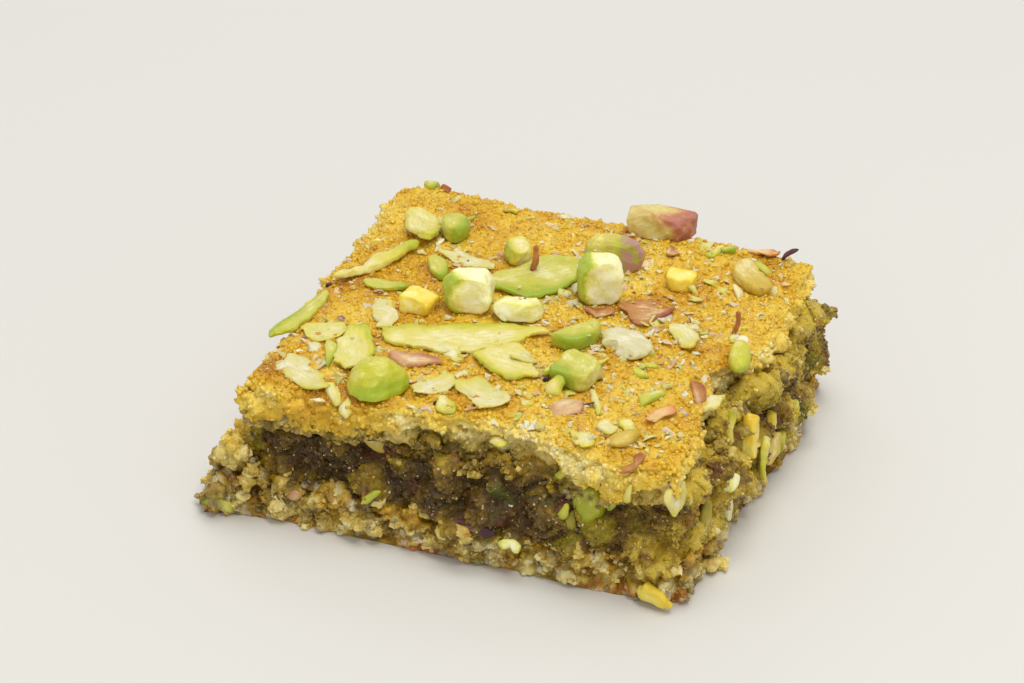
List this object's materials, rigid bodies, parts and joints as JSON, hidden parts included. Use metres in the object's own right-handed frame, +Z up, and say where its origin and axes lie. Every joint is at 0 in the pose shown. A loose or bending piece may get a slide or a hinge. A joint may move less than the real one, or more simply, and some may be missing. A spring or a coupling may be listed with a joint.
{
  "type": "square slice of pistachio maamoul",
  "caption": "Square-cut slice of semolina shortbread with a dark pistachio filling between two crusts and chopped pistachio pieces scattered on top.",
  "frame": {"origin": "middle of the slice's box, on the surface it rests on", "axes": "+X along the front cut face to the right, +Y towards the back cut face, +Z up"},
  "size_m": [0.0558, 0.0506, 0.0217],
  "materials": {
    "nut_green": "satin",
    "nut_pale": "satin",
    "nut_yellow": "satin",
    "nut_white": "satin",
    "nut_pink": "matte",
    "bottom_crust": "matte",
    "filling": "satin",
    "top_crust": "matte",
    "broken_crust": "matte"
  },
  "bodies": {
    "root": {"bottom_crust": "bottom_crust", "filling": "filling", "top_crust": "top_crust", "broken_crust": "broken_crust", "nut_long_slice": "nut_pale", "nut_upper_slice": "nut_pale", "nut_round_end": "nut_green", "nut_left_block": "nut_pale", "nut_low_wedge": "nut_pale", "nut_large_slice": "nut_green", "nut_tall_block": "nut_pale", "nut_skinned_chunk": "nut_pink", "nut_small_wedge": "nut_pale", "nut_pink_chunk": "nut_pink", "nut_front_flake": "nut_white", "nut_curved_flake": "nut_pale", "nut_green_half": "nut_green", "nut_white_lump": "nut_white", "nut_square_chunk": "nut_green", "nut_brown_skin": "nut_pink", "nut_yellow_cube": "nut_yellow", "nut_back_chunk": "nut_pink", "nut_back_half": "nut_yellow", "nut_edge_seed": "nut_green", "nut_right_flake": "nut_white", "nut_left_flakes": "nut_white", "nut_green_sliver": "nut_green", "nut_yellow_chunk": "nut_yellow", "nut_white_flake": "nut_white", "nut_small_sliver": "nut_green", "nut_standing_slice": "nut_pale", "nut_left_chunk": "nut_green", "nut_left_strip": "nut_pale", "nut_edge_sliver": "nut_green", "nut_corner_flake": "nut_pale", "nut_left_flake": "nut_pale", "nut_folded_slice": "nut_green", "nut_right_chip": "nut_pale"}
  },
  "joints": []
}
